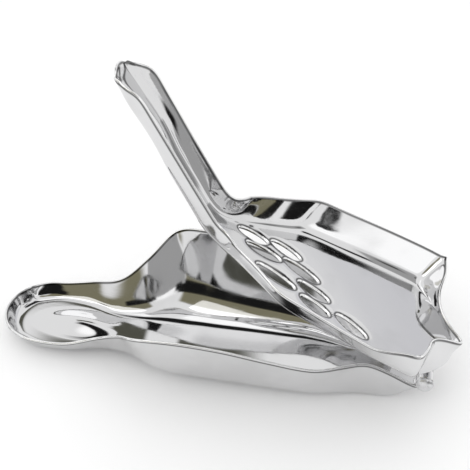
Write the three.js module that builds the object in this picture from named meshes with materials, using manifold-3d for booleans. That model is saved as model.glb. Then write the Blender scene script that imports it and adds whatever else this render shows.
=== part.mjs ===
// Hinged lemon squeezer: two pressings of stainless sheet joined by one hinge pin.
// Lengths are millimetres, +Z is up, and the origin is the middle of the flat face that it stands on.
// The handles point to -X and the hinge pin lies along Y. The half fruit goes into the scoop, the press
// tray comes down on it, and the juice rises through the slots and pours off the tray's drawn-out lips.
import * as THREE from "three";
import { mergeVertices } from "three/addons/utils/BufferGeometryUtils.js";
import Module from "manifold-3d";

const wasm = await Module();
wasm.setup();

// Driving dimensions of the whole tool
const sheet = 1;
const hingeHeight = 12.5;
const openAngle = 24;
const overrun = 2;

// Hinge
const pinRadius = 2;
const pinHeadRadius = 3.3;
const pinHeadHeight = 1.8;
const pinClearance = 0.3;
const knuckleGap = 0.4;
const hingeHalfSpan = 14;
const outerKnuckleWidth = 5;
const innerKnuckleWidth = 5;
const headGap = 0.3;
const rollTurn = 1.7 * Math.PI;
const knuckleInner = pinRadius + pinClearance;
const knuckleOuter = knuckleInner + sheet;
const knuckleMiddle = knuckleInner + sheet / 2;

// Scoop: the lower pressing
const scoopReach = 165;
const scoopHalfWidth = 33.5;
const scoopHeight = 33;
const scoopHandleFloor = 2.6;
const scoopTipLong = 18;
const scoopTipWide = 17.8;
const scoopTipHeight = 8.5;
const handleWallRun = 4.5;
const restFaceReach = 66;
const thumbRise = 2.4;
const thumbHalfLength = 19;
const thumbHalfWidth = 9;
const scoopThumbReach = 136;

// Press tray: the upper pressing, measured along its sheet
const trayReach = 162.8;
const trayHalfWidth = 35.5;
const trayWall = 11.5;
const trayFloorGap = 6.1;
const trayHandleWall = 7;
const trayTipLong = 9.5;
const trayTipWide = 9.6;
const trayTipHeight = 0.8;
const handleBend = 37.2;
const bendRadius = 24;
const bendReach = 86.4;
const trayThumbReach = 137;
const trayThumbRise = 1.8;
const tailReach = 9.4;
const scallopReach = -7.8;
const cornerReach = -9.7;
const floorEndReach = -11;
const tailFloorReach = 6.5;
const tailLip = 4.1;
const spoutSharpness = 4;
const traySkew = 5;
const skewFrom = 95;
const skewTo = 70;
const nearTuck = 6.5;
const tuckFrom = 30;
const tuckTo = 11;
const slotWidth = 4.2;

// How many faces each form is drawn with
const wallSteps = 4;
const scoopSteps = 40;
const traySteps = 42;
const acrossSteps = 14;
const roundSteps = 24;
const slotSteps = 6;
const headSteps = 4;
const weldGap = 1e-4;

const degrees = Math.PI / 180;

// The sheet's direction at an edge is taken a little inside it
const insetShare = 0.3;
const smallShare = 1e-4;

// Side lines of the scoop from handle tip to hinge: shares of its reach, half width and height
const scoopRimShares = [
  [0.818, 0.565, 0.315],
  [0.745, 0.53, 0.44],
  [0.685, 0.7, 0.69],
  [0.624, 0.985, 0.96],
  [0.564, 1, 1],
  [0.509, 0.975, 0.98],
  [0.436, 0.935, 0.925],
  [0.345, 0.88, 0.82],
  [0.242, 0.77, 0.685],
  [0.182, 0.61, 0.645],
  [0.133, 0.48, 0.61],
  [0.073, 0.42, 0.46],
  [0.03, 0.415, 0.35],
  [0, 0.4, 0.31],
];
const scoopFloorShares = [
  [0.818, 0.37],
  [0.745, 0.27],
  [0.685, 0.25],
  [0.624, 0.27],
  [0.564, 0.3],
  [0.509, 0.315],
  [0.436, 0.33],
  [0.345, 0.35],
  [0.242, 0.36],
  [0.182, 0.34],
  [0.133, 0.33],
  [0.073, 0.34],
  [0.03, 0.385],
  [0, 0.395],
];
const handleFlatShare = 0.685;
const bodyFlatShare = 0.56;
const endRampShare = 0.085;
const scoopToeShare = 0.62;
const scoopFilletShare = 1;

// Side lines of the tray from handle tip to hinge end: shares of its reach, half width and wall height
const trayRimShares = [
  [0.87, 0.267, 0.61],
  [0.78, 0.262, 0.61],
  [0.7, 0.262, 0.62],
  [0.63, 0.265, 0.64],
  [0.595, 0.272, 0.67],
  [0.573, 0.29, 0.71],
  [0.555, 0.335, 0.76],
  [0.515, 0.485, 0.86],
  [0.47, 0.615, 0.93],
  [0.425, 0.765, 0.99],
  [0.406, 0.83, 1],
  [0.393, 0.86, 1],
  [0.375, 0.875, 1],
  [0.33, 0.895, 1],
  [0.26, 0.935, 0.99],
  [0.18, 0.97, 0.99],
  [0.1, 0.985, 1],
  [0.066, 0.978, 1],
];
const trayFloorShares = [
  [0.87, 0.15],
  [0.78, 0.15],
  [0.7, 0.15],
  [0.63, 0.155],
  [0.6, 0.162],
  [0.58, 0.17],
  [0.56, 0.185],
  [0.525, 0.235],
  [0.475, 0.355],
  [0.425, 0.48],
  [0.398, 0.545],
  [0.382, 0.577],
  [0.365, 0.6],
  [0.325, 0.625],
  [0.25, 0.65],
  [0.17, 0.68],
  [0.105, 0.695],
  [0.068, 0.7],
];
const trayToeShare = 0.5;
const trayFilletShare = 0.4;

// The juice slots: shares of the tray's reach for place along, of its half width for place across,
// and of its reach for length
const slotShares = [
  [0.487, 0.186, 0.074],
  [0.455, 0.023, 0.086],
  [0.405, 0.206, 0.077],
  [0.36, 0.011, 0.092],
  [0.415, -0.254, 0.098],
  [0.323, -0.208, 0.08],
  [0.314, -0.4, 0.074],
  [0.223, -0.437, 0.08],
];
const slotTurns = [-4, -7, -12, -15, -13, -14, -16, -20];

const cornerWidthShare = 0.98;
const cornerHeightShare = 1.03;
const bowShare = 0.15;

// A smooth line through hand-set places; at(share) runs from 0 at its first place to 1 at its last.
function lineThrough(places) {
  const curve = new THREE.CatmullRomCurve3(places.map(([x, y, z]) => new THREE.Vector3(x, y, z)));
  curve.curveType = "centripetal";
  return (share) => curve.getPoint(THREE.MathUtils.clamp(share, 0, 1));
}

const smooth = (from, to, value) => THREE.MathUtils.smoothstep(value, from, to);

// Sheet bent to a surface: place(u, v) is the sheet's middle, u along from 0 to 1 and v across from -1 to 1.
function pressing(along, across, place) {
  const geometry = new THREE.BoxGeometry(1, 2, 1, along, across, 1);
  const position = geometry.attributes.position;
  const insetU = insetShare / along;
  const insetV = 2 * insetShare / across;
  for (let i = 0; i < position.count; i += 1) {
    const u = position.getX(i) + 1 / 2;
    const v = position.getY(i);
    const nearU = THREE.MathUtils.clamp(u, insetU, 1 - insetU);
    const nearV = THREE.MathUtils.clamp(v, insetV - 1, 1 - insetV);
    const alongU = place(nearU + smallShare, nearV).sub(place(nearU - smallShare, nearV));
    const alongV = place(nearU, nearV + smallShare).sub(place(nearU, nearV - smallShare));
    const normal = alongU.cross(alongV).normalize();
    const point = place(u, v).addScaledVector(normal, position.getZ(i) * sheet);
    position.setXYZ(i, point.x, point.y, point.z);
  }
  return geometry;
}

// How far a grid coordinate is up the wall beside it, 1 at the rim, and where it is on the floor.
function wallAndFloor(value, steps, lowWall, highWall) {
  const index = value * steps;
  const first = lowWall ? wallSteps : 0;
  const last = steps - (highWall ? wallSteps : 0);
  const low = Math.max(first - index, 0) / wallSteps;
  const high = Math.max(index - last, 0) / wallSteps;
  const floor = THREE.MathUtils.clamp((index - first) / (last - first), 0, 1);
  return { low, high, floor };
}

// How far out and how far up a point is, of a wall that curves up from the floor with a toe and a fillet.
const outward = (rise, toe) => 2 * rise * (1 - rise) * toe + rise * rise;
function upward(rise, fillet) {
  const curved = Math.min(rise, fillet);
  return (curved * curved / (2 * fillet) + rise - curved) / (1 - fillet / 2);
}

// One pan-shaped pressing. The shape gives its floor, and its rim on the sides, ends and corners.
function pan(steps, shape) {
  const total = steps + wallSteps + (shape.endRim ? wallSteps : 0);
  const totalAcross = acrossSteps + 2 * wallSteps;
  const place = (u, v) => {
    const long = wallAndFloor(u, total, true, Boolean(shape.endRim));
    const wide = wallAndFloor((v + 1) / 2, totalAcross, true, true);
    const side = wide.floor * 2 - 1;
    const flip = new THREE.Vector3(1, Math.sign(side) || 1, 1);
    const floor = shape.floor(long.floor, side);
    const riseLong = Math.max(long.low, long.high);
    const riseWide = Math.max(wide.low, wide.high);
    const none = new THREE.Vector3();
    const atEnd = long.high > 0;
    const rim = atEnd ? shape.endRim : shape.tipRim;
    const toEnd = riseLong > 0 ? rim(side).sub(floor) : none;
    const toSide = riseWide > 0 ? shape.sideRim(long.floor).multiply(flip).sub(floor) : none;
    const corner = atEnd ? shape.endCorner : shape.tipCorner;
    const both = riseLong > 0 && riseWide > 0;
    const toCorner = both ? corner.clone().multiply(flip).sub(floor).sub(toEnd).sub(toSide) : none;
    const outLong = outward(riseLong, shape.toe);
    const outWide = outward(riseWide, shape.toe);
    const point = floor.clone();
    point.addScaledVector(toEnd, outLong);
    point.addScaledVector(toSide, outWide);
    point.addScaledVector(toCorner, outLong * outWide);
    const upEnd = upward(riseLong, shape.fillet) * toEnd.z;
    const upSide = upward(riseWide, shape.fillet) * toSide.z;
    const lower = upward(Math.min(riseLong, riseWide), shape.fillet);
    const cornerUp = both ? lower * (toCorner.z + Math.min(toEnd.z, toSide.z)) : 0;
    point.z = floor.z + Math.max(upEnd, upSide) + cornerUp;
    return shape.finish(point);
  };
  return pressing(total, totalAcross, place);
}

// The round end of a handle: where its outline is at x, and its floor's edge at a turn from the long axis.
function roundEnd(middle, long, wide) {
  return {
    halfWidthAt: (x) => wide * Math.sqrt(Math.max(1 - ((x + middle) / long) ** 2, 0)),
    tipAt: (y) => -middle - long * Math.sqrt(Math.max(1 - (y / wide) ** 2, 0)),
    turned: (turn) => [-middle - long * Math.cos(turn), wide * Math.sin(turn)],
  };
}

// An oval swelling in a handle for the thumb.
function swelling(x, y, reachX, rise) {
  const away = Math.hypot((x + reachX) / thumbHalfLength, y / thumbHalfWidth);
  return rise * (1 - smooth(0, 1, away));
}

// Scoop

const floorLevel = sheet / 2;
const scoopEndLevel = hingeHeight - knuckleMiddle;
const scoopTipMiddle = scoopReach - scoopTipLong;
const scoopTipFloor = roundEnd(scoopTipMiddle, scoopTipLong - handleWallRun, scoopTipWide - handleWallRun);
const scoopTipRim = roundEnd(scoopTipMiddle, scoopTipLong, scoopTipWide);
const tipTurns = [Math.PI / 4, Math.PI * 3 / 8, Math.PI / 2];
const tipRiseShares = [0.45, 0.78, 0.95];
const tipStart = tipTurns[0];

function scoopFloorHeight(x) {
  const share = -x / scoopReach;
  const handle = smooth(bodyFlatShare, handleFlatShare, share);
  const end = 1 - smooth(0, endRampShare, share);
  const level = floorLevel + (scoopHandleFloor - floorLevel) * handle;
  return level + (scoopEndLevel - floorLevel) * end;
}

const scoopRim = lineThrough([
  ...tipTurns.map((turn) => {
    const [x] = scoopTipFloor.turned(turn);
    return [x, scoopTipRim.halfWidthAt(x), scoopTipHeight];
  }),
  ...scoopRimShares.map(([x, y, z]) => [-x * scoopReach, y * scoopHalfWidth, z * scoopHeight]),
]);
const scoopFloorEdge = lineThrough([
  ...tipTurns.map((turn) => [...scoopTipFloor.turned(turn), 0]),
  ...scoopFloorShares.map(([x, y]) => [-x * scoopReach, y * scoopHalfWidth, 0]),
]);

// Bows the first cross lines of a floor out to the round end of its handle.
function bowToTip(point, along, tipFloor) {
  const [straight] = tipFloor.turned(tipStart);
  const bowed = tipFloor.tipAt(point.y);
  point.x += (bowed - straight) * Math.max(1 - along / bowShare, 0);
}

const scoopShape = {
  toe: scoopToeShare,
  fillet: scoopFilletShare,
  floor(along, side) {
    const point = scoopFloorEdge(along);
    point.y *= side;
    bowToTip(point, along, scoopTipFloor);
    point.z = scoopFloorHeight(point.x) + swelling(point.x, point.y, scoopThumbReach, thumbRise);
    return point;
  },
  sideRim: (along) => scoopRim(along),
  tipRim(side) {
    const y = scoopFloorEdge(0).y * side;
    return new THREE.Vector3(scoopTipRim.tipAt(y), y, scoopTipHeight);
  },
  tipCorner: new THREE.Vector3(...scoopTipRim.turned(tipStart), scoopTipHeight),
  finish: (point) => point,
};

// Tray, laid flat first and then bent up behind the tray

const trayTipMiddle = trayReach - trayTipLong;
const trayTipFloor = roundEnd(trayTipMiddle, trayTipLong - handleWallRun, trayTipWide - handleWallRun);
const trayTipRim = roundEnd(trayTipMiddle, trayTipLong, trayTipWide);
const trayRim = lineThrough([
  ...tipTurns.map((turn, i) => {
    const [x] = trayTipFloor.turned(turn);
    const height = trayTipHeight + (trayHandleWall - trayTipHeight) * tipRiseShares[i];
    return [x, trayTipRim.halfWidthAt(x), height];
  }),
  ...trayRimShares.map(([x, y, z]) => [-x * trayReach, y * trayHalfWidth, z * trayWall]),
]);
const trayFloorEdge = lineThrough([
  ...tipTurns.map((turn) => [...trayTipFloor.turned(turn), 0]),
  ...trayFloorShares.map(([x, y]) => [-x * trayReach, y * trayHalfWidth, 0]),
]);

// The tray's rim sits a little askew: its far side is pushed towards the hinge and its near side back,
// and its near corner is tucked in.
function skew(point) {
  const across = (point.y / trayHalfWidth) * (point.z / trayWall);
  const tuck = nearTuck * Math.max(-across, 0) * smooth(-tuckFrom, -tuckTo, point.x);
  point.x += traySkew * across * smooth(-skewFrom, -skewTo, point.x);
  point.y += tuck;
  return point;
}

function bendUp(point) {
  const behind = -bendReach - point.x;
  if (behind <= 0) return point;
  const turn = Math.min(behind / bendRadius, handleBend * degrees);
  const straight = behind - turn * bendRadius;
  const radius = bendRadius - point.z;
  point.x = -bendReach - radius * Math.sin(turn) - straight * Math.cos(turn);
  point.z = bendRadius - radius * Math.cos(turn) + straight * Math.sin(turn);
  return point;
}

const trayShape = {
  toe: trayToeShare,
  fillet: trayFilletShare,
  floor(along, side) {
    const point = trayFloorEdge(along);
    const tail = (tailFloorReach - floorEndReach) * (1 - side * side);
    point.y *= side;
    bowToTip(point, along, trayTipFloor);
    point.x += tail * Math.max(1 - (1 - along) / bowShare, 0);
    point.z = swelling(point.x, point.y, trayThumbReach, trayThumbRise);
    return point;
  },
  sideRim: (along) => trayRim(along),
  tipRim(side) {
    const y = trayFloorEdge(0).y * side;
    return new THREE.Vector3(trayTipRim.tipAt(y), y, trayTipHeight);
  },
  tipCorner: new THREE.Vector3(...trayTipRim.turned(tipStart), trayTipHeight),
  endRim(side) {
    const out = Math.abs(side);
    const x = scallopReach + (tailReach - scallopReach) * (1 - out) ** spoutSharpness;
    const z = tailLip + (trayWall - tailLip) * out;
    return new THREE.Vector3(x, trayFloorEdge(1).y * side, z);
  },
  endCorner: new THREE.Vector3(
    cornerReach,
    trayHalfWidth * cornerWidthShare,
    trayWall * cornerHeightShare,
  ),
  finish: (point) => bendUp(skew(point)),
};

// Turns a closed geometry into a solid that can be cut and joined.
function solid(geometry) {
  geometry.deleteAttribute("normal");
  geometry.deleteAttribute("uv");
  const merged = mergeVertices(geometry, weldGap);
  return new wasm.Manifold(new wasm.Mesh({
    numProp: 3,
    vertProperties: new Float32Array(merged.attributes.position.array),
    triVerts: new Uint32Array(merged.index.array),
  }));
}

function geometryOf(body) {
  const mesh = body.getMesh();
  const geometry = new THREE.BufferGeometry();
  geometry.setAttribute("position", new THREE.BufferAttribute(mesh.vertProperties, 3));
  geometry.setIndex(new THREE.BufferAttribute(mesh.triVerts, 1));
  geometry.computeVertexNormals();
  return geometry;
}

// A knuckle: sheet rolled round the pin, centred on the hinge axis, its root leaving below the pin along -X.
// The outline lies in X and Z, and is drawn out along Y.
function knuckle(y, width, rootLength) {
  const rollEnd = rollTurn - Math.PI / 2;
  const shape = new THREE.Shape();
  shape.absarc(0, 0, knuckleOuter, -Math.PI / 2, rollEnd, false);
  shape.absarc(0, 0, knuckleInner, rollEnd, -Math.PI / 2, true);
  shape.lineTo(-rootLength, -knuckleInner);
  shape.lineTo(-rootLength, -knuckleOuter);
  shape.closePath();
  const geometry = new THREE.ExtrudeGeometry(shape, {
    depth: width,
    bevelEnabled: false,
    curveSegments: roundSteps,
  });
  geometry.rotateX(Math.PI / 2);
  geometry.translate(0, y + width / 2, 0);
  return geometry;
}

const outerKnuckleY = hingeHalfSpan - outerKnuckleWidth / 2;
const innerKnuckleY = outerKnuckleY - outerKnuckleWidth / 2 - knuckleGap - innerKnuckleWidth / 2;
const hingeAt = new THREE.Vector3(0, 0, hingeHeight);
const trayFloorHeight = knuckleOuter + trayFloorGap + sheet / 2;

function makeScoop() {
  let body = solid(pan(scoopSteps, scoopShape));
  for (const side of [-1, 1]) {
    const roll = knuckle(side * outerKnuckleY, outerKnuckleWidth, overrun);
    roll.translate(hingeAt.x, hingeAt.y, hingeAt.z);
    body = body.add(solid(roll));
  }
  const notchHalfWidth = outerKnuckleY - outerKnuckleWidth / 2;
  const notchReach = knuckleOuter + knuckleGap;
  const notch = new THREE.BoxGeometry(notchReach + overrun, 2 * notchHalfWidth, hingeHeight + 2 * overrun);
  notch.translate((overrun - notchReach) / 2, 0, hingeHeight / 2);
  body = body.subtract(solid(notch));
  const boreLength = 2 * (hingeHalfSpan + pinHeadHeight + overrun);
  const bore = new THREE.CylinderGeometry(knuckleInner, knuckleInner, boreLength, roundSteps);
  bore.translate(hingeAt.x, hingeAt.y, hingeAt.z);
  body = body.subtract(solid(bore));
  return geometryOf(body);
}

function slot(x, y, angle, length) {
  const shape = new THREE.Shape();
  shape.absellipse(0, 0, length / 2, slotWidth / 2, 0, Math.PI * 2, false, 0);
  const geometry = new THREE.ExtrudeGeometry(shape, {
    depth: sheet + 2 * overrun,
    bevelEnabled: false,
    curveSegments: slotSteps,
  });
  geometry.translate(0, 0, -sheet / 2 - overrun);
  geometry.rotateZ(angle);
  geometry.translate(x, y, 0);
  return geometry;
}

function makeTray() {
  let body = solid(pan(traySteps, trayShape));
  slotShares.forEach(([reach, across, length], i) => {
    const cut = slot(-reach * trayReach, across * trayHalfWidth, slotTurns[i] * degrees, length * trayReach);
    body = body.subtract(solid(cut));
  });
  const geometry = geometryOf(body);
  geometry.translate(0, 0, trayFloorHeight);
  body = solid(geometry);
  for (const side of [-1, 1]) {
    const roll = knuckle(side * innerKnuckleY, innerKnuckleWidth, trayFloorHeight);
    roll.rotateY(Math.PI / 2);
    body = body.add(solid(roll));
  }
  return geometryOf(body);
}

function makePin() {
  const half = hingeHalfSpan + headGap;
  const profile = [new THREE.Vector2(0, -half - pinHeadHeight)];
  for (let step = 1; step <= headSteps; step += 1) {
    const turn = (step / headSteps) * Math.PI / 2;
    profile.push(new THREE.Vector2(
      pinHeadRadius * Math.sin(turn),
      -half - pinHeadHeight * Math.cos(turn),
    ));
  }
  profile.push(new THREE.Vector2(pinRadius, -half));
  const other = profile.map((point) => new THREE.Vector2(point.x, -point.y)).reverse();
  return new THREE.LatheGeometry([...profile, ...other], roundSteps);
}

const brightSteel = { color: 0xd0d1d2, roughness: 0.08, metalness: 1 };
const pinSteel = { color: 0xb4b5b6, roughness: 0.2, metalness: 1 };
const steel = (look) => new THREE.MeshStandardMaterial(look);

const squeezer = new THREE.Group();

const scoop = new THREE.Mesh(makeScoop(), steel(brightSteel));
scoop.name = "scoop";
squeezer.add(scoop);

const upper = new THREE.Group();
upper.position.copy(hingeAt);
upper.rotation.y = openAngle * degrees;
const tray = new THREE.Mesh(makeTray(), steel(brightSteel));
tray.name = "press_tray";
upper.add(tray);
squeezer.add(upper);

const pin = new THREE.Mesh(makePin(), steel(pinSteel));
pin.name = "hinge_pin";
pin.position.copy(hingeAt);
squeezer.add(pin);

squeezer.position.x = restFaceReach;

export default squeezer;
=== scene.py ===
# Hinged lemon squeezer: two mirror polished pressings and their hinge pin, in a white studio.
import math

import bmesh
import bpy
import numpy as np
from mathutils import Matrix, Vector
from mathutils.kdtree import KDTree


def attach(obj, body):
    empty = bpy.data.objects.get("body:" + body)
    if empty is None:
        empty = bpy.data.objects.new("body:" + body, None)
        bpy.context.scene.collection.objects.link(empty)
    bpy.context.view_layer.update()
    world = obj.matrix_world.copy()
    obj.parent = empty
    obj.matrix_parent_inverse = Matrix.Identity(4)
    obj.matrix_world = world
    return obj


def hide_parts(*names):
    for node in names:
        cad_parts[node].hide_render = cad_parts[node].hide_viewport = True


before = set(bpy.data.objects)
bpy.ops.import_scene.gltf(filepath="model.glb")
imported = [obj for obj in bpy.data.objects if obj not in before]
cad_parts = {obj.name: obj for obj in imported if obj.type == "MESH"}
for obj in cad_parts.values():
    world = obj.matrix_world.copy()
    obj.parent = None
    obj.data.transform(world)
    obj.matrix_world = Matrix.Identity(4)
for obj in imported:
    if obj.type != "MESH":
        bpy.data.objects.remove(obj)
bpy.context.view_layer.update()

# The maker's sizes are millimetres. Each half is drawn from the hinge axis, with its handle towards -X.
MM = 0.001
sheet = 1.0
hinge_reach = 66.0
hinge_height = 12.5
open_angle = math.radians(24)

# Camera
camera_azimuth = math.radians(9)
camera_elevation = math.radians(37)
camera_roll = math.radians(2.1)
camera_distance = 394.0
camera_target = (-15.0, 43.2, 25.0)
focal_pixels = 950.0
photo_pixels = 470.0
sensor_width = 36.0

# Hinge
pin_radius = 2.0
pin_head_radius = 3.3
pin_head_height = 1.8
pin_clearance = 0.3
knuckle_gap = 0.4
hinge_half_span = 14.0
outer_knuckle_width = 5.0
inner_knuckle_width = 5.0
head_gap = 0.3
pin_head_lip = 0.15
pin_neck_flare = 0.1
pin_neck_depth = 0.02
pin_neck_length = 0.3
pin_dome_power = 0.9
pin_point = 0.02
roll_turn = 1.7 * math.pi
knuckle_inner = pin_radius + pin_clearance
knuckle_outer = knuckle_inner + sheet
knuckle_middle = knuckle_inner + sheet / 2
edge_round = 0.16
roll_inset = 0.01
table_gap = 0.05
smooth_angle = math.radians(32)

# Scoop
scoop_reach = 165.0
scoop_half_width = 33.5
scoop_height = 33.0
scoop_handle_floor = 2.6
scoop_tip_long = 18.0
scoop_tip_wide = 17.8
scoop_tip_height = 8.5
handle_wall_run = 4.5
scoop_wall_change = -110.0, -90.0
scoop_toes = 0.52, 0.62
scoop_fillets = 0.5, 1.0
scoop_root_length = 2.0
notch_low, notch_far, notch_over = -2.0, 3.0, 4.0
bore_over = 4.0
thumb_rise = 2.4
thumb_half_length = 19.0
thumb_half_width = 9.0
scoop_thumb_reach = 136.0

# Press tray, measured along its sheet
tray_reach = 162.8
tray_half_width = 35.5
tray_wall = 11.5
tray_lift = 6.1
tray_floor_height = knuckle_outer + tray_lift + sheet / 2
tray_handle_wall = 7.0
tray_tip_long = 9.5
tray_tip_wide = 9.6
tray_tip_height = 0.8
tray_wall_change = -96.0, -84.0
tray_toes = 0.6, 0.5
tray_fillets = 1.0, 0.4
handle_bend = math.radians(37.2)
bend_radius = 24.0
bend_reach = 86.4
tray_thumb_reach = 137.0
tray_thumb_rise = 2.2
tail_reach = 9.4
scallop_reach = -7.8
corner_reach = -9.7
floor_end_reach = -11.0
tail_floor_reach = 6.5
tail_lip = 4.1
spout_sharpness = 4
tray_skew = 5.0
skew_from, skew_to = 95.0, 70.0
near_tuck = 6.5
tuck_from, tuck_to = 30.0, 11.0
corner_width_share = 0.98
corner_height_share = 1.03
bow_share = 0.15

slot_width = 4.2
slot_chamfer = 0.18
slot_margin = 2.2
slot_dish = 0.55
cutter_reach = 3.0
cutter_over = 0.05

# Unevenness that hand polishing leaves: its depth, and mm to a radian of each wave along and across
waver_depth = 0.02
wave_runs = 6.1, 5.3
wave_starts = 0.8, 1.7
ripple_runs = 3.7, 4.9
ripple_share = 0.6

# Side lines from handle tip to hinge: shares of reach, half width and, for a rim, height
scoop_rim_shares = [
    (0.818, 0.565, 0.315), (0.745, 0.53, 0.44), (0.685, 0.7, 0.69), (0.624, 0.985, 0.96),
    (0.564, 1, 1), (0.509, 0.975, 0.98), (0.436, 0.935, 0.925), (0.345, 0.88, 0.82),
    (0.242, 0.77, 0.685), (0.182, 0.61, 0.645), (0.133, 0.48, 0.61), (0.073, 0.42, 0.46),
    (0.03, 0.415, 0.35), (0, 0.4, 0.296),
]
scoop_floor_shares = [
    (0.818, 0.37), (0.745, 0.27), (0.685, 0.25), (0.624, 0.27), (0.564, 0.3), (0.509, 0.315),
    (0.436, 0.33), (0.345, 0.35), (0.242, 0.36), (0.182, 0.34), (0.133, 0.33), (0.073, 0.34),
    (0.03, 0.385), (0, 0.395),
]
tray_rim_shares = [
    (0.87, 0.267, 0.61), (0.78, 0.262, 0.61), (0.7, 0.262, 0.62), (0.63, 0.265, 0.64),
    (0.595, 0.272, 0.67), (0.573, 0.29, 0.71), (0.555, 0.335, 0.76), (0.515, 0.485, 0.86),
    (0.47, 0.615, 0.93), (0.425, 0.765, 0.99), (0.406, 0.83, 1), (0.393, 0.86, 1),
    (0.375, 0.875, 1), (0.33, 0.895, 1), (0.26, 0.935, 0.99), (0.18, 0.97, 0.99),
    (0.1, 0.985, 1), (0.066, 0.978, 1),
]
tray_floor_shares = [
    (0.87, 0.15), (0.78, 0.15), (0.7, 0.15), (0.63, 0.155), (0.6, 0.162), (0.58, 0.17),
    (0.56, 0.185), (0.525, 0.235), (0.475, 0.355), (0.425, 0.48), (0.398, 0.545),
    (0.382, 0.577), (0.365, 0.6), (0.325, 0.625), (0.25, 0.65), (0.17, 0.68),
    (0.105, 0.695), (0.068, 0.7),
]
# Juice slots: shares of the tray's reach along, of its half width across, and of its reach for length,
# and the turn in degrees
slots = [
    (0.487, 0.186, 0.074, -4), (0.455, 0.023, 0.086, -7), (0.405, 0.206, 0.077, -12),
    (0.36, 0.011, 0.092, -15), (0.415, -0.254, 0.098, -13), (0.323, -0.208, 0.08, -14),
    (0.314, -0.4, 0.074, -16), (0.223, -0.437, 0.08, -20),
]
tip_turns = [math.pi / 4, math.pi * 3 / 8, math.pi / 2]
tip_rise_shares = [0.45, 0.78, 0.95]
handle_flat_share = 0.685
body_flat_share = 0.56
end_ramp_share = 0.085

# How finely each form is drawn
tip_rows = 14
wall_columns = 22
floor_columns = 44
cross_points = 92
long_points = 250
rim_rows = 6
edge_depth = 6
scoop_rows = 230
tray_rows = 230
round_steps = 72
dome_steps = 16
line_samples = 4000
even_rounds = 2
soften_rounds = 14
soften_share = 0.5


# Forms

def step(low, high, value):
    """A smooth step from 0 at low to 1 at high."""
    t = np.clip((value - low) / (high - low), 0, 1)
    return t * t * (3 - 2 * t)


def line_through(places):
    """A smooth line through given places; its share runs from 0 to 1."""
    p = np.array(places, float)
    held = np.vstack([2 * p[0] - p[1], p, 2 * p[-1] - p[-2]])
    gap = np.sum(np.diff(held, axis=0) ** 2, axis=1) ** 0.25

    def at(share):
        t = np.clip(share, 0, 1) * (len(p) - 1)
        i = np.minimum(np.floor(t).astype(int), len(p) - 2)
        w = (t - i)[..., None]
        x0, x1, x2, x3 = (held[i + k] for k in range(4))
        d0, d1, d2 = (gap[i + k][..., None] for k in range(3))
        leave = ((x1 - x0) / d0 - (x2 - x0) / (d0 + d1) + (x2 - x1) / d1) * d1
        arrive = ((x2 - x1) / d1 - (x3 - x1) / (d1 + d2) + (x3 - x2) / d2) * d1
        square = 3 * (x2 - x1) - 2 * leave - arrive
        cube = 2 * (x1 - x2) + leave + arrive
        return x1 + w * (leave + w * (square + w * cube))

    return at


def even_shares(lines, count):
    """Shares that step evenly along the mean of some lines."""
    t = np.linspace(0, 1, line_samples)
    run = sum(np.linalg.norm(np.diff(line(t), axis=0), axis=1) for line in lines)
    run = np.concatenate([[0], np.cumsum(run)])
    return np.interp(np.linspace(0, run[-1], count), run, t)


class RoundEnd:
    """The round end of a handle."""

    def __init__(self, middle, long, wide):
        self.middle, self.long, self.wide = middle, long, wide

    def half_width_at(self, x):
        return self.wide * math.sqrt(max(1 - ((x + self.middle) / self.long) ** 2, 0))

    def tip_at(self, y):
        return -self.middle - self.long * np.sqrt(np.maximum(1 - (y / self.wide) ** 2, 0))

    def turned(self, turn):
        return -self.middle - self.long * math.cos(turn), self.wide * math.sin(turn)


def swelling(x, y, reach, rise):
    """An oval swelling for the thumb."""
    away = np.hypot((x + reach) / thumb_half_length, y / thumb_half_width)
    return rise * (1 - step(0, 1, away))


def outward(rise, toe):
    """How far out a wall is at a share of its rise: a bigger toe leaves the floor sooner."""
    return 2 * rise * (1 - rise) * toe + rise * rise


def upward(rise, fillet):
    """How high a wall is at a share of its rise: it curves up over the fillet, then runs straight."""
    curved = np.minimum(rise, fillet)
    return (curved * curved / (2 * fillet) + rise - curved) / (1 - fillet / 2)


def soften(grid):
    """Evens a grid of points, and its border only along itself."""
    g = grid.copy()
    for _ in range(soften_rounds):
        inner = (g[:-2, 1:-1] + g[2:, 1:-1] + g[1:-1, :-2] + g[1:-1, 2:]) / 4
        edges = [(g[0, :-2] + g[0, 2:]) / 2, (g[-1, :-2] + g[-1, 2:]) / 2,
                 (g[:-2, 0] + g[2:, 0]) / 2, (g[:-2, -1] + g[2:, -1]) / 2]
        new = g.copy()
        new[1:-1, 1:-1] += (inner - g[1:-1, 1:-1]) * soften_share
        new[0, 1:-1] += (edges[0] - g[0, 1:-1]) * soften_share
        new[-1, 1:-1] += (edges[1] - g[-1, 1:-1]) * soften_share
        new[1:-1, 0] += (edges[2] - g[1:-1, 0]) * soften_share
        new[1:-1, -1] += (edges[3] - g[1:-1, -1]) * soften_share
        g = new
    return g


def even_lines(grid, count):
    """The same surface with the points of each of its cross lines evenly spaced."""
    run = np.linalg.norm(np.diff(grid, axis=1), axis=2)
    run = np.concatenate([np.zeros((len(grid), 1)), np.cumsum(run, axis=1)], axis=1)
    share = np.linspace(0, 1, count)
    return np.stack([
        np.stack([np.interp(share * along[-1], along, line[:, k]) for k in range(3)], axis=-1)
        for along, line in zip(run, grid)
    ])


def even_grid(grid):
    """The same surface with its points evenly spaced both ways."""
    for _ in range(even_rounds):
        grid = even_lines(grid, cross_points)
        grid = even_lines(grid.swapaxes(0, 1), long_points).swapaxes(0, 1)
    return grid


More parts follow.
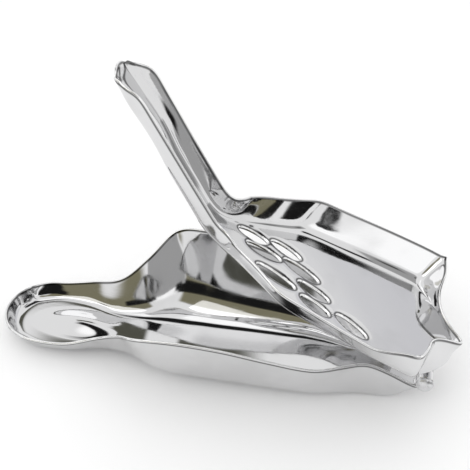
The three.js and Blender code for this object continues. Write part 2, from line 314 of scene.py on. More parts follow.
def pan(shape, shares):
    """The middle surface of a pan-shaped pressing, as a grid from handle tip to hinge."""
    up = np.linspace(1, 0, tip_rows, endpoint=False)
    low = np.concatenate([up, np.zeros(len(shares))])
    along = np.concatenate([np.zeros(tip_rows), shares])
    high = np.zeros_like(low)
    if shape.end_rim:
        low = np.concatenate([low, np.zeros(tip_rows)])
        along = np.concatenate([along, np.ones(tip_rows)])
        high = np.concatenate([high, up[::-1]])
    wall = np.linspace(1, 0, wall_columns, endpoint=False)
    wide_up = np.concatenate([wall, np.zeros(floor_columns), wall[::-1]])
    near, far = -np.ones(wall_columns), np.ones(wall_columns)
    side = np.concatenate([near, np.linspace(-1, 1, floor_columns), far])

    rise_long = np.maximum(low, high)[:, None] + 0 * side[None, :]
    rise_wide = wide_up[None, :] + 0 * low[:, None]
    along = along[:, None] + 0 * side[None, :]
    side = side[None, :] + 0 * rise_long
    flip = np.ones((*side.shape, 3))
    flip[..., 1] = np.where(side < 0, -1.0, 1.0)
    at_end = (high > 0)[:, None] & np.ones_like(side, bool)

    floor = shape.floor(along, side)
    rim = shape.tip_rim(side)
    corner = np.broadcast_to(shape.tip_corner, floor.shape).copy()
    if shape.end_rim:
        rim = np.where(at_end[..., None], shape.end_rim(side), rim)
        corner = np.where(at_end[..., None], shape.end_corner, corner)
    to_end = np.where((rise_long > 0)[..., None], rim - floor, 0)
    to_side = np.where((rise_wide > 0)[..., None], shape.side_rim(along) * flip - floor, 0)
    both = (rise_long > 0) & (rise_wide > 0)
    to_corner = np.where(both[..., None], corner * flip - floor - to_end - to_side, 0)
    toe, fillet = shape.profile(floor[..., 0])
    out_long, out_wide = outward(rise_long, toe), outward(rise_wide, toe)
    point = (floor + to_end * out_long[..., None] + to_side * out_wide[..., None]
             + to_corner * (out_long * out_wide)[..., None])
    up_end = upward(rise_long, fillet) * to_end[..., 2]
    up_side = upward(rise_wide, fillet) * to_side[..., 2]
    lower = upward(np.minimum(rise_long, rise_wide), fillet)
    least = np.minimum(to_end[..., 2], to_side[..., 2])
    corner_up = np.where(both, lower * (to_corner[..., 2] + least), 0)
    point[..., 2] = floor[..., 2] + np.maximum(up_end, up_side) + corner_up
    return point


def bow_to_tip(point, along, tip_floor):
    """Bows the first cross lines of a floor out to the round end of its handle."""
    straight = tip_floor.turned(tip_turns[0])[0]
    share = np.maximum(1 - along / bow_share, 0)
    point[..., 0] += (tip_floor.tip_at(point[..., 1]) - straight) * share


def tip_forms(reach, long, wide):
    """The round ends of a handle's floor and rim."""
    middle = reach - long
    floor = RoundEnd(middle, long - handle_wall_run, wide - handle_wall_run)
    return floor, RoundEnd(middle, long, wide)


def floor_line(tip_floor, reach, half_width, shares):
    """The line along a floor's side edge, from its round tip to the hinge."""
    edge = [(*tip_floor.turned(turn), 0) for turn in tip_turns]
    return line_through(edge + [(-x * reach, y * half_width, 0) for x, y in shares])


def wall_profile(x, change, toes, fillets):
    """The wall's toe and fillet, which change from the handle to the body."""
    body = step(*change, x)
    return toes[0] + (toes[1] - toes[0]) * body, fillets[0] + (fillets[1] - fillets[0]) * body


class ScoopShape:
    """The scoop's lines. Its end is open, with no end wall."""
    end_rim = None

    def __init__(self):
        self.tip_floor, self.tip = tip_forms(scoop_reach, scoop_tip_long, scoop_tip_wide)
        rim = []
        for turn in tip_turns:
            x = self.tip_floor.turned(turn)[0]
            rim.append((x, self.tip.half_width_at(x), scoop_tip_height))
        rim += [(-x * scoop_reach, y * scoop_half_width, z * scoop_height)
                for x, y, z in scoop_rim_shares]
        self.side_rim = line_through(rim)
        self.floor_edge = floor_line(self.tip_floor, scoop_reach, scoop_half_width, scoop_floor_shares)
        self.tip_corner = np.array([*self.tip.turned(tip_turns[0]), scoop_tip_height])

    def profile(self, x):
        """Straighter round the handle, fuller round the bowl."""
        return wall_profile(x, scoop_wall_change, scoop_toes, scoop_fillets)

    def floor(self, along, side):
        point = self.floor_edge(along)
        point[..., 1] *= side
        bow_to_tip(point, along, self.tip_floor)
        share = -point[..., 0] / scoop_reach
        handle = step(body_flat_share, handle_flat_share, share)
        end = 1 - step(0, end_ramp_share, share)
        level = sheet / 2 + table_gap + (scoop_handle_floor - sheet / 2) * handle
        level += (hinge_height - knuckle_middle - sheet / 2) * end
        thumb = swelling(point[..., 0], point[..., 1], scoop_thumb_reach, thumb_rise)
        point[..., 2] = level + thumb
        return point

    def tip_rim(self, side):
        y = self.floor_edge(np.array(0.0))[1] * side
        return np.stack([self.tip.tip_at(y), y, np.full_like(y, scoop_tip_height)], axis=-1)


class TrayShape:
    """The press tray's lines, before its handle is bent up."""

    def __init__(self):
        self.tip_floor, self.tip = tip_forms(tray_reach, tray_tip_long, tray_tip_wide)
        rim = []
        for turn, rise in zip(tip_turns, tip_rise_shares):
            x = self.tip_floor.turned(turn)[0]
            height = tray_tip_height + (tray_handle_wall - tray_tip_height) * rise
            rim.append((x, self.tip.half_width_at(x), height))
        rim += [(-x * tray_reach, y * tray_half_width, z * tray_wall) for x, y, z in tray_rim_shares]
        self.side_rim = line_through(rim)
        self.floor_edge = floor_line(self.tip_floor, tray_reach, tray_half_width, tray_floor_shares)
        self.tip_corner = np.array([*self.tip.turned(tip_turns[0]), tray_tip_height])
        self.end_corner = np.array([corner_reach, tray_half_width * corner_width_share,
                                    tray_wall * corner_height_share])

    def profile(self, x):
        """Rounder round the handle, folded round the tray."""
        return wall_profile(x, tray_wall_change, tray_toes, tray_fillets)

    def floor(self, along, side):
        point = self.floor_edge(along)
        tail = (tail_floor_reach - floor_end_reach) * (1 - side * side)
        point[..., 1] *= side
        bow_to_tip(point, along, self.tip_floor)
        point[..., 0] += tail * np.maximum(1 - (1 - along) / bow_share, 0)
        point[..., 2] = swelling(point[..., 0], point[..., 1], tray_thumb_reach, tray_thumb_rise)
        return point

    def tip_rim(self, side):
        y = self.floor_edge(np.array(0.0))[1] * side
        return np.stack([self.tip.tip_at(y), y, np.full_like(y, tray_tip_height)], axis=-1)

    def end_rim(self, side):
        out = np.abs(side)
        x = scallop_reach + (tail_reach - scallop_reach) * (1 - out) ** spout_sharpness
        z = tail_lip + (tray_wall - tail_lip) * out
        return np.stack([x, self.floor_edge(np.array(1.0))[1] * side, z], axis=-1)


def skew(point):
    """The tray's rim sits a little askew, and its near corner is tucked in."""
    across = (point[..., 1] / tray_half_width) * (point[..., 2] / tray_wall)
    tuck = near_tuck * np.maximum(-across, 0) * step(-tuck_from, -tuck_to, point[..., 0])
    point[..., 0] += tray_skew * across * step(-skew_from, -skew_to, point[..., 0])
    point[..., 1] += tuck
    return point


def bend_up(point):
    """Bends the handle up behind the tray."""
    behind = -bend_reach - point[..., 0]
    turn = np.clip(behind / bend_radius, 0, handle_bend)
    straight = np.maximum(behind - turn * bend_radius, 0)
    radius = bend_radius - point[..., 2]
    x = -bend_reach - radius * np.sin(turn) - straight * np.cos(turn)
    z = bend_radius - radius * np.cos(turn) + straight * np.sin(turn)
    bent = behind > 0
    out = point.copy()
    out[..., 0] = np.where(bent, x, point[..., 0])
    out[..., 2] = np.where(bent, z, point[..., 2])
    return out


def border(rows, columns):
    """The border of a grid, in order, as row and column numbers."""
    loop = [(0, j) for j in range(columns)]
    loop += [(i, columns - 1) for i in range(1, rows)]
    loop += [(rows - 1, j) for j in range(columns - 2, -1, -1)]
    loop += [(i, 0) for i in range(rows - 2, 0, -1)]
    return np.array(loop)


def sheet_mesh(middle):
    """Sheet metal with a rounded edge, round its middle surface: its points, faces and edge line."""
    rows, columns = middle.shape[:2]
    back = 2
    loop = border(rows, columns)
    li, lj = loop[:, 0], loop[:, 1]

    def normals(g):
        facing = np.cross(g[1:, 1:] - g[:-1, :-1], g[:-1, 1:] - g[1:, :-1])
        facing /= np.linalg.norm(facing, axis=-1, keepdims=True)
        n = np.zeros_like(g)
        for i in (0, 1):
            for j in (0, 1):
                n[i:rows - 1 + i, j:columns - 1 + j] += facing
        return n / np.linalg.norm(n, axis=-1, keepdims=True)

    def outs(g, n):
        edge = g[li, lj]
        run = np.roll(edge, -1, axis=0) - np.roll(edge, 1, axis=0)
        out = np.cross(n[li, lj], run)
        out /= np.linalg.norm(out, axis=1, keepdims=True)
        inside = g[np.clip(li, back, rows - 1 - back), np.clip(lj, back, columns - 1 - back)]
        flip = np.sign(np.sum(out * (edge - inside), axis=1))
        return out * flip[:, None]

    n = normals(middle)
    out = outs(middle, n)
    g = middle.copy()
    for k in range(edge_depth):
        ring = np.clip(li, k, rows - 1 - k), np.clip(lj, k, columns - 1 - k)
        shift = np.zeros_like(g)
        shared = np.zeros((rows, columns, 1))
        np.add.at(shift, ring, out)
        np.add.at(shared, ring, 1)
        g -= shift / np.maximum(shared, 1) * (sheet / 2 * (1 - k / edge_depth))
    top = g + n * sheet / 2
    low = g - n * sheet / 2
    points = [top.reshape(-1, 3), low.reshape(-1, 3)]
    count = rows * columns
    for k in range(1, rim_rows):
        turn = math.pi * k / rim_rows
        round_off = n[li, lj] * (sheet / 2 * math.cos(turn)) + out * (sheet / 2 * math.sin(turn))
        points.append(g[li, lj] + round_off)
    index = np.arange(count).reshape(rows, columns)
    a, b, c, d = index[:-1, :-1], index[1:, :-1], index[1:, 1:], index[:-1, 1:]
    faces = np.concatenate([
        np.stack([a, b, c, d], axis=-1).reshape(-1, 4),
        np.stack([a, d, c, b], axis=-1).reshape(-1, 4) + count,
    ]).tolist()
    around = len(loop)
    rings = [index[li, lj]]
    rings += [2 * count + (k - 1) * around + np.arange(around) for k in range(1, rim_rows)]
    rings += [index[li, lj] + count]
    for one, two in zip(rings[:-1], rings[1:]):
        for k in range(around):
            m = (k + 1) % around
            faces.append([int(one[k]), int(one[m]), int(two[m]), int(two[k])])
    return np.concatenate(points), faces, g[li, lj] + out * sheet / 2


def new_piece(name, points, faces):
    """A mesh object with its faces turned outwards."""
    mesh = bpy.data.meshes.new(name)
    mesh.from_pydata([tuple(p) for p in points], [], faces)
    mesh.validate()
    rework = bmesh.new()
    rework.from_mesh(mesh)
    bmesh.ops.recalc_face_normals(rework, faces=rework.faces)
    rework.to_mesh(mesh)
    rework.free()
    piece = bpy.data.objects.new(name, mesh)
    bpy.context.scene.collection.objects.link(piece)
    return piece


def ring_solid(name, rings):
    """A solid skinned over rings of points, its ends closed flat."""
    count = len(rings[0])
    points = np.concatenate(rings)
    faces = []
    for r in range(len(rings) - 1):
        for k in range(count):
            m = (k + 1) % count
            faces.append([r * count + k, r * count + m, (r + 1) * count + m, (r + 1) * count + k])
    faces.append(list(range(count)))
    faces.append([(len(rings) - 1) * count + k for k in range(count)])
    return new_piece(name, points, faces)


def join_or_cut(piece, others, how):
    """Joins other solids to a piece, or cuts them out of it, for good."""
    for other in others:
        tool = piece.modifiers.new("work", "BOOLEAN")
        tool.operation = how
        tool.solver = "MANIFOLD"
        tool.object = other
        bpy.context.view_layer.update()
        worked = piece.evaluated_get(bpy.context.evaluated_depsgraph_get())
        done = bpy.data.meshes.new_from_object(worked)
        piece.modifiers.clear()
        piece.data = done
        bpy.data.objects.remove(other)


# Pieces

def knuckle(y, width, root_length):
    """Sheet rolled round the pin, its root leaving below the pin along -X."""
    roll_end = roll_turn - math.pi / 2
    around = np.linspace(-math.pi / 2, roll_end, round_steps)

    def outline(inset):
        big, small = knuckle_outer - inset, knuckle_inner + inset
        outer = [(big * math.cos(t), big * math.sin(t)) for t in around]
        inner = [(small * math.cos(t), small * math.sin(t)) for t in around[::-1]]
        root = [(-root_length, -small), (-root_length, -big)]
        return outer + inner + root

    rings = []
    for across, inset in ((-width / 2, edge_round), (-width / 2 + edge_round, roll_inset),
                          (width / 2 - edge_round, roll_inset), (width / 2, edge_round)):
        rings.append(np.array([(x, y + across, z) for x, z in outline(inset)]))
    return ring_solid("roll", rings)


def full_turn():
    return np.linspace(0, 2 * math.pi, round_steps, endpoint=False)


def round_ring(radius, y):
    return np.array([(radius * math.cos(t), y, radius * math.sin(t)) for t in full_turn()])


def rod(radius, half):
    """A rod along Y, for boring."""
    return ring_solid("rod", [round_ring(radius, y) for y in (-half, half)])


def block(low, high):
    """A block between two corners, for notching."""
    (x0, y0, z0), (x1, y1, z1) = low, high
    square = [(y0, z0), (y1, z0), (y1, z1), (y0, z1)]
    return ring_solid("block", [np.array([(x, y, z) for y, z in square]) for x in (x0, x1)])


def slot_cutter(x, y, turn, length):
    """A slot with a small chamfer at both faces of the sheet."""
    turns = full_turn()
    rings = []
    half = sheet / 2
    straight = half + cutter_over - slot_chamfer
    for z in (-cutter_reach, -straight, straight, cutter_reach):
        wide = max(abs(z) - half + slot_chamfer, 0)
        a, b = length / 2 + wide, slot_width / 2 + wide
        p, q = a * np.cos(turns), b * np.sin(turns)
        rings.append(np.stack([
            x + p * math.cos(turn) - q * math.sin(turn),
            y + p * math.sin(turn) + q * math.cos(turn),
            np.full_like(p, z - slot_dish),
        ], axis=-1))
    return ring_solid("slot", rings)


def waver(grid):
    """The faint unevenness that hand polishing leaves."""
    x, y = grid[..., 0], grid[..., 1]
    wave = np.sin(x / wave_runs[0] + wave_starts[0]) * np.sin(y / wave_runs[1] + wave_starts[1])
    ripple = np.sin(x / ripple_runs[0] + y / ripple_runs[1])
    grid[..., 2] += waver_depth * (wave + ripple_share * ripple)
    return grid


def put(piece, points_to_frame):
    """Takes a piece from its drawing to its place in the frame, in metres."""
    count = len(piece.data.vertices)
    flat = np.empty(count * 3)
    piece.data.vertices.foreach_get("co", flat)
    piece.data.vertices.foreach_set("co", (points_to_frame(flat.reshape(-1, 3)) * MM).reshape(-1))
    piece.data.update()


def from_hinge(points):
    """The scoop's place."""
    return points + np.array([hinge_reach, 0, 0])


def opened(points):
    """The press tray's place, opened as in the photo."""
    c, s = math.cos(open_angle), math.sin(open_angle)
    x, y, z = points.T
    return np.stack([hinge_reach + x * c + z * s, y, hinge_height - x * s + z * c], axis=-1)


def mark_edges(piece, edge_points):
    """Keeps each point's distance from the nearest cut edge, in millimetres, for the wear and the
    painted shade line along it.
    """
    tree = KDTree(len(edge_points))
    for k, p in enumerate(edge_points):
        tree.insert(p, k)
    tree.balance()
    away = [tree.find(v.co)[2] / MM for v in piece.data.vertices]
    store = piece.data.attributes.new("from_edge", "FLOAT", "POINT")
    store.data.foreach_set("value", np.array(away, np.float32))


def dress(piece, body, finish, node):
    """Gives a piece its finish, hangs it on the body it rides on, and hides the model.glb part that it
    stands for.
    """
    piece.data.materials.clear()
    piece.data.materials.append(finish)
    piece.data.shade_smooth()
    piece.data.set_sharp_from_angle(angle=smooth_angle)
    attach(piece, body)
    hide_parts(node)


def make_scoop(finish):
    shape = ScoopShape()
    grid = pan(shape, even_shares([shape.side_rim, shape.floor_edge], scoop_rows))
    points, faces, edge = sheet_mesh(waver(soften(even_grid(grid))))
    piece = new_piece("polished_scoop", points, faces)
    outer_y = hinge_half_span - outer_knuckle_width / 2
    rolls = []
    for side in (-1, 1):
        roll = knuckle(side * outer_y, outer_knuckle_width, scoop_root_length)
        roll.data.transform(Matrix.Translation((0, 0, hinge_height)))
        rolls.append(roll)
    join_or_cut(piece, rolls, "UNION")
    notch_half = outer_y - outer_knuckle_width / 2
    notch_reach = knuckle_outer + knuckle_gap
    notch = block((-notch_reach, -notch_half, notch_low),
                  (notch_far, notch_half, hinge_height + notch_over))
    bore = rod(knuckle_inner, hinge_half_span + bore_over)
    bore.data.transform(Matrix.Translation((0, 0, hinge_height)))
    join_or_cut(piece, [notch, bore], "DIFFERENCE")
    put(piece, from_hinge)
    mark_edges(piece, from_hinge(edge) * MM)
    dress(piece, "lower", finish, "scoop")


def dish_round_slot(grid, x, y, turn, length):
    """Dishes the sheet a little round a slot, as the punch leaves it."""
    dx, dy = grid[..., 0] - x, grid[..., 1] - y
    p = dx * math.cos(turn) + dy * math.sin(turn)
    q = -dx * math.sin(turn) + dy * math.cos(turn)
    away = np.hypot(p / (length / 2 + slot_margin), q / (slot_width / 2 + slot_margin))
    inner = slot_width / (slot_width + 2 * slot_margin)
    grid[..., 2] -= slot_dish * (1 - step(inner, 1, away))


def slot_edge(x, y, turn, length):
    turns = full_turn()
    a, b = length / 2 * np.cos(turns), slot_width / 2 * np.sin(turns)
    return np.stack([x + a * math.cos(turn) - b * math.sin(turn),
                     y + a * math.sin(turn) + b * math.cos(turn), np.zeros_like(a)], axis=-1)


def make_tray(finish):
    shape = TrayShape()
    grid = pan(shape, even_shares([shape.side_rim, shape.floor_edge], tray_rows))
    grid = waver(soften(even_grid(grid)))
    cutters = []
    edges = []
    for along, across, long, turn in slots:
        slot = (-along * tray_reach, across * tray_half_width, math.radians(turn), long * tray_reach)
        dish_round_slot(grid, *slot)
        cutters.append(slot_cutter(*slot))
        edges.append(slot_edge(*slot))
    grid = bend_up(skew(grid))
    points, faces, edge = sheet_mesh(grid)
    piece = new_piece("polished_press_tray", points, faces)
    join_or_cut(piece, cutters, "DIFFERENCE")
    piece.data.transform(Matrix.Translation((0, 0, tray_floor_height)))
    inner_y = hinge_half_span - outer_knuckle_width - knuckle_gap - inner_knuckle_width / 2
    rolls = []
    for side in (-1, 1):
        roll = knuckle(side * inner_y, inner_knuckle_width, tray_floor_height)
        roll.data.transform(Matrix.Rotation(math.pi / 2, 4, "Y"))
        rolls.append(roll)
    join_or_cut(piece, rolls, "UNION")
    put(piece, opened)
    rims = np.concatenate([edge, *edges]) + np.array([0, 0, tray_floor_height])
    mark_edges(piece, opened(rims) * MM)
    dress(piece, "upper", finish, "press_tray")


def make_pin(finish):
    half = hinge_half_span + head_gap
    profile = [(pin_point, -half - pin_head_height)]
    for k in range(1, dome_steps + 1):
        turn = k / dome_steps * math.pi / 2
        radius = pin_head_radius * math.sin(turn) ** pin_dome_power
        profile.append((radius, -half - pin_head_height * math.cos(turn)))
    profile += [(pin_head_radius - pin_head_lip, -half),
                (pin_radius + pin_neck_flare, -half + pin_neck_depth),
                (pin_radius, -half + pin_neck_length)]
    profile += [(radius, -y) for radius, y in profile[::-1]]
    piece = ring_solid("domed_hinge_pin", [round_ring(radius, y) for radius, y in profile])
    put(piece, lambda p: p + np.array([hinge_reach, 0, hinge_height]))
    mark_edges(piece, [Vector((hinge_reach, s * half, hinge_height)) * MM for s in (-1, 1)])
    dress(piece, "lower", finish, "hinge_pin")


# Finishes

class Value:
    """A socket that can be used in sums."""

    def __init__(self, nodes, socket):
        self.nodes, self.socket = nodes, socket

    def sum(self, how, *values):
        return self.nodes.make("ShaderNodeMath", {"operation": how}, dict(enumerate(values)))

    def __add__(self, other):
        return self.sum("ADD", self, other)

    def __radd__(self, other):
        return self.sum("ADD", other, self)

    def __sub__(self, other):
        return self.sum("SUBTRACT", self, other)

    def __rsub__(self, other):
        return self.sum("SUBTRACT", other, self)

    def __mul__(self, other):
        return self.sum("MULTIPLY", self, other)

    def __rmul__(self, other):
        return self.sum("MULTIPLY", other, self)


class Finish:
    """The nodes of one finish."""

    def __init__(self, name, tree=None):
        if tree is None:
            self.material = bpy.data.materials.new(name)
            self.material.use_nodes = True
            tree = self.material.node_tree
        self.tree = tree
        self.tree.nodes.clear()

    def make(self, kind, settings=None, values=None, output=0):
        """Makes a node: its settings first, then the values or links of its sockets."""
        node = self.tree.nodes.new(kind)
        for key, value in (settings or {}).items():
            setattr(node, key, value)
        for key, value in (values or {}).items():
            socket = node.inputs[key]
            if isinstance(value, Value):
                self.tree.links.new(value.socket, socket)
            else:
                socket.default_value = value
        return Value(self, node.outputs[output]) if len(node.outputs) else node

    def mix(self, share, one, two):
        """A colour between two colours."""
        node = self.tree.nodes.new("ShaderNodeMix")
        node.data_type = "RGBA"
        for key, value in (("Factor_Float", share), ("A_Color", one), ("B_Color", two)):
            socket = next(s for s in node.inputs if s.identifier == key)
            if isinstance(value, Value):
                self.tree.links.new(value.socket, socket)
            elif hasattr(value, "__len__"):
                socket.default_value = (*value, 1)
            else:
                socket.default_value = value
        return Value(self, next(s for s in node.outputs if s.identifier == "Result_Color"))

    def between(self, value, low, high):
        """A smooth step from 0 at low to 1 at high."""
        return self.make("ShaderNodeMapRange", {"interpolation_type": "SMOOTHSTEP"},
                         {0: value, 1: low, 2: high})

    def scaled(self, vector, by):
        return self.make("ShaderNodeVectorMath", {"operation": "MULTIPLY"}, {0: vector, 1: by})

    def noise(self, place, scale, detail, roughness):
        return self.make("ShaderNodeTexNoise", {}, {
            "Vector": place, "Scale": scale, "Detail": detail, "Roughness": roughness,
        })

    def metal(self, colour, rough, bump):
        """Bare metal with a varying colour, roughness and bump."""
        shader = self.make("ShaderNodeBsdfPrincipled", {}, {
            "Base Color": colour, "Roughness": rough, "Metallic": 1.0, "Normal": bump,
        })
        self.make("ShaderNodeOutputMaterial", {}, {"Surface": shader})
        return self.material


# Polished steel: scales of its marks in cycles a metre, where each one shows, and how much.
# Wear, and a dark line of painted shade just inside each edge, are placed in mm from the nearest edge.
cloud_scale, smear_scale = 38.0, 130.0
buffing_stretch = (60.0, 1400.0, 1400.0)
hair_stretch, hair_scale = (300.0, 26.0, 300.0), 3.0
grime_span, smear_span, scratch_span = (0.48, 0.72), (0.45, 0.75), (0.70, 0.74)
worn_span, painted_shade_start, painted_shade_end = (0.3, 0.6), (0.5, 0.7), (1.0, 1.5)
buffing_height, smear_height = 0.35, 0.15
polish_bump, polish_depth = 0.04, 0.2
grime_shade = 0.86
grime_rough, smear_rough, scratch_rough, worn_rough = 0.05, 0.05, 0.12, 0.1
worn_share, worn_tint = 0.7, (0.93, 0.93, 0.93)
# How strongly the dark line of painted shade shows along the edges, and its colour.
painted_shade_share, painted_shade_tint = 0.85, (0.06, 0.06, 0.06)

# Turned steel
lathe_rings = 42000.0
turned_tints = (0.72, 0.72, 0.73), (0.6, 0.6, 0.61)
turned_rough, turned_rough_spread = 0.2, 0.12
turned_span = 0.35, 0.75
turned_grain = 500.0
ring_height = 0.5
turned_bump, turned_depth = 0.12, 0.05


def polished_steel(name, tint, shine, tarnish, seed):
    """Mirror polished sheet: soft smudges, buffing lines, hairline scratches, bright worn edges, and a
    dark line of painted shade just inside each edge.
    """
    f = Finish(name)
    place = f.make("ShaderNodeTexCoord", output=3)
    moved = f.make("ShaderNodeVectorMath", {"operation": "ADD"},
                   {0: place, 1: (seed, seed / 3, seed / 7)})
    cloud = f.noise(moved, scale=cloud_scale, detail=3.0, roughness=0.55)
    smear = f.noise(moved, scale=smear_scale, detail=5.0, roughness=0.65)
    buffing = f.noise(f.scaled(moved, buffing_stretch), scale=1.0, detail=2.0, roughness=0.5)
    hairs = f.noise(f.scaled(moved, hair_stretch), scale=hair_scale, detail=6.0, roughness=0.6)
    scratch = f.between(hairs, *scratch_span)
    away = f.make("ShaderNodeAttribute", {"attribute_name": "from_edge"}, output=2)
    worn = 1 - f.between(away, *worn_span)
    # A dark line of painted shade just inside each cut edge, not a mark of wear.
    line = f.between(away, *painted_shade_start) * (1 - f.between(away, *painted_shade_end))
    grime = f.between(cloud, *grime_span)
    colour = f.mix(grime * tarnish, tint, tuple(c * grime_shade for c in tint))
    colour = f.mix(worn * worn_share, colour, worn_tint)
    # Paints that dark line of shade into the steel's colour.
    colour = f.mix(line * painted_shade_share, colour, painted_shade_tint)
    rough = (shine + smear_rough * f.between(smear, *smear_span) + grime_rough * grime
             + scratch_rough * scratch + worn_rough * worn)
    height = buffing * buffing_height + smear * smear_height
    bump = f.make("ShaderNodeBump", {}, {
        "Height": height, "Strength": polish_bump, "Distance": polish_depth * MM,
    })
    return f.metal(colour, rough, bump)


def turned_steel(name):
    """Satin turned steel, with faint rings from the lathe."""
    f = Finish(name)
    place = f.make("ShaderNodeTexCoord", output=3)
    axis = f.make("ShaderNodeVectorMath", {"operation": "SUBTRACT"},
                  {0: place, 1: (hinge_reach * MM, 0.0, hinge_height * MM)})
    flat = f.scaled(axis, (1.0, 0.0, 1.0))
    radius = f.make("ShaderNodeVectorMath", {"operation": "LENGTH"}, {0: flat}, output=1)
    rings = f.make("ShaderNodeMath", {"operation": "SINE"}, {0: radius * lathe_rings})
    cloud = f.noise(place, scale=turned_grain, detail=3.0, roughness=0.5)
    colour = f.mix(f.between(cloud, *turned_span), *turned_tints)
    rough = turned_rough + turned_rough_spread * cloud
    bump = f.make("ShaderNodeBump", {}, {
        "Height": rings * ring_height + cloud, "Strength": turned_bump, "Distance": turned_depth * MM,
    })
    return f.metal(colour, rough, bump)


def plain_finish(name, colour, roughness):
    f = Finish(name)
    shader = f.make("ShaderNodeBsdfPrincipled", {},
                    {"Base Color": (*colour, 1), "Roughness": roughness})
    f.make("ShaderNodeOutputMaterial", {}, {"Surface": shader})
    return f.material


# Studio
floor_side = 6000.0
floor_drop = 0.02
floor_white = (0.98, 0.98, 0.98)
floor_rough = 0.7
card_aim = Vector((0, 0, 50))


def look_axes():
    """The camera's forward, right and up directions."""
    a, e, r = camera_azimuth, camera_elevation, camera_roll
    forward = Vector((-math.sin(a) * math.cos(e), math.cos(a) * math.cos(e), -math.sin(e)))
    right = Vector((math.cos(a), math.sin(a), 0))
    up = right.cross(forward)
    return forward, math.cos(r) * right + math.sin(r) * up, -math.sin(r) * right + math.cos(r) * up


def make_camera():
    forward, right, up = look_axes()
    place = (Vector(camera_target) - forward * camera_distance) * MM
    data = bpy.data.cameras.new("photo_camera")
    data.lens = focal_pixels / photo_pixels * sensor_width
    data.sensor_width = sensor_width
    data.clip_start = 0.01
    camera = bpy.data.objects.new("photo_camera", data)
    camera.matrix_world = Matrix((
        (right.x, up.x, -forward.x, place.x),
        (right.y, up.y, -forward.y, place.y),
        (right.z, up.z, -forward.z, place.z),
        (0, 0, 0, 1),
    ))
    bpy.context.scene.collection.objects.link(camera)
    bpy.context.scene.camera = camera


def make_world():
    world = bpy.data.worlds.new("white_studio")
    bpy.context.scene.world = world
    world.use_nodes = True
    f = Finish("white_studio", world.node_tree)
    shader = f.make("ShaderNodeBackground", {}, {"Color": (1.0, 1.0, 1.0, 1), "Strength": 1.0})
    f.make("ShaderNodeOutputWorld", {}, {"Surface": shader})


def flat_board(name, width, height, place, turn):
    """A flat board on the stage, facing along its own Z."""
    w, h = width / 2, height / 2
    mesh = bpy.data.meshes.new(name)
    mesh.from_pydata([(-w, -h, 0), (w, -h, 0), (w, h, 0), (-w, h, 0)], [], [(0, 1, 2, 3)])
    board = bpy.data.objects.new(name, mesh)
    board.matrix_world = Matrix.Translation(place) @ turn
    bpy.context.scene.collection.objects.link(board)
    return board


def make_floor():
    side = floor_side * MM
    floor = flat_board("floor", side, side, Vector((0, 0, -floor_drop * MM)), Matrix.Identity(4))
    floor.data.materials.append(plain_finish("white_floor", floor_white, floor_rough))


def make_lamp(name, place, aim, size, watts):
    data = bpy.data.lights.new(name, "AREA")
    data.shape = "SQUARE"
    data.size = size * MM
    data.energy = watts
    lamp = bpy.data.objects.new(name, data)
    turn = (Vector(aim) - Vector(place)).to_track_quat("-Z", "Y").to_matrix().to_4x4()
    lamp.matrix_world = Matrix.Translation(Vector(place) * MM) @ turn
    bpy.context.scene.collection.objects.link(lamp)


def place_card(name, place, toward, width, height, colour, soft):
    """A card that only the steel mirrors, with its edges softened into white."""
    card = flat_board(name, width, height, place, toward.to_track_quat("Z", "Y").to_matrix().to_4x4())
    f = Finish(name)
    on_card = f.make("ShaderNodeTexCoord", output=0)
    x, y = (f.make("ShaderNodeSeparateXYZ", {}, {0: on_card}, output=k) for k in range(2))
    shown = (f.between(x, 0.0, soft) * f.between(1 - x, 0.0, soft)
             * f.between(y, 0.0, soft) * f.between(1 - y, 0.0, soft))
    glow = f.make("ShaderNodeEmission", {}, {"Color": (*colour, 1), "Strength": 1.0})
    clear = f.make("ShaderNodeBsdfTransparent")
    both = f.make("ShaderNodeMixShader", {}, {0: shown, 1: clear, 2: glow})
    f.make("ShaderNodeOutputMaterial", {}, {"Surface": both})
    card.data.materials.append(f.material)
    card.visible_camera = False
    card.visible_diffuse = False
    card.visible_shadow = False


def make_card(name, azimuth, elevation, distance, width, height, colour, soft):
    """A far card, set by angles in degrees as seen from above the middle of the tool."""
    a, e = math.radians(azimuth), math.radians(elevation)
    away = Vector((math.cos(a) * math.cos(e), math.sin(a) * math.cos(e), math.sin(e))) * distance
    size = [2 * distance * MM * math.tan(math.radians(angle / 2)) for angle in (width, height)]
    place_card(name, (card_aim + away) * MM, -away, *size, colour, soft)


def make_flag(name, heading, distance, left, right, low, high, colour, soft):
    """An upright card beside the table, across a heading: its ends and heights in mm."""
    a = math.radians(heading)
    ahead, across = Vector((math.cos(a), math.sin(a), 0)), Vector((-math.sin(a), math.cos(a), 0))
    place = ahead * distance + across * (left + right) / 2 + Vector((0, 0, (low + high) / 2))
    place_card(name, place * MM, -ahead, (right - left) * MM, (high - low) * MM, colour, soft)


black = (0.012, 0.012, 0.012)
dark = (0.06, 0.06, 0.055)
dim = (0.10, 0.10, 0.08)
grey = (0.42, 0.42, 0.42)
pale = (0.48, 0.48, 0.48)
cool = (0.76, 0.76, 0.79)
lit = (1.35, 1.35, 1.35)
room = (0.24, 0.225, 0.15)
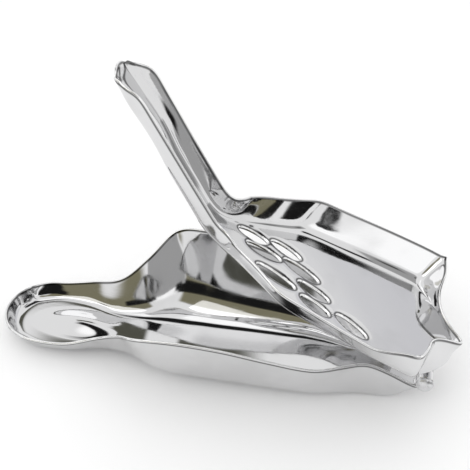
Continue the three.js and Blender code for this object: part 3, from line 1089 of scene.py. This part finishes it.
# Far cards: azimuth, elevation, distance in mm, width and height in degrees, colour, soft edge
cards = {
    "room_card": (-110, 34, 1300, 68, 52, room, 0.12),
    "lens_flag": (-86, 26, 800, 44, 17, black, 0.15),
    "table_end_card": (-58, -3.1, 421, 50, 7.5, pale, 0.05),
    "right_softbox": (-52, 24, 900, 34, 22, lit, 0.3),
    "overhead_softbox": (150, 80, 900, 30, 24, lit, 0.3),
    "left_flag": (-176, -6, 270, 50, 9, black, 0.1),
    "root_flag": (80, 65, 900, 58, 20, black, 0.2),
    "end_flag": (-154, 40, 900, 10, 10, black, 0.3),
    "back_left_card": (108, 42, 1200, 20, 10, dim, 0.2),
    "backdrop_card": (57, 18, 1400, 66, 26, cool, 0.4),
    "foot_flag": (22, 44.5, 1200, 22, 9, black, 0.3),
}
# Upright cards beside the table: heading, distance, left, right, low, high, colour, soft edge
flags = {
    "shoulder_flag_left": (-32, 120, -24, 9.5, 14, 52, black, 0.05),
    "shoulder_gap_card": (-32, 121, 9, 13.5, 16, 51, room, 0.05),
    "shoulder_flag_middle": (-32, 120, 12.6, 22, 10, 50, black, 0.08),
    "shoulder_flag_right": (-32, 120, 29, 60, 0.5, 26, black, 0.08),
    "fold_flag": (-32, 120, -18, -7, 81, 96, black, 0.25),
    "thumb_flag": (-60, 110, -48, -11, 67, 98, black, 0.3),
    "channel_card": (-60, 111, -64, 46, 38, 80, grey, 0.1),
    "thumb_side_flag": (0, 120, -12, 9, 97, 113, dark, 0.3),
    "channel_side_card": (0, 121, -30, 72, 78, 126, grey, 0.15),
}

make_camera()
make_world()
make_floor()
make_lamp("soft_key", place=(-500, -600, 1000), aim=(0, 0, 30), size=900, watts=2.0)
for name, numbers in cards.items():
    make_card(name, *numbers)
for name, numbers in flags.items():
    make_flag(name, *numbers)

bright = (0.71, 0.71, 0.715)
mirror_shine = 0.045
light_tarnish = 0.6
make_scoop(polished_steel("scoop_mirror_steel", bright, mirror_shine, light_tarnish, seed=1.3))
make_tray(polished_steel("tray_mirror_steel", bright, mirror_shine, light_tarnish, seed=4.1))
make_pin(turned_steel("pin_satin_steel"))

bpy.context.scene.view_settings.view_transform = "Standard"
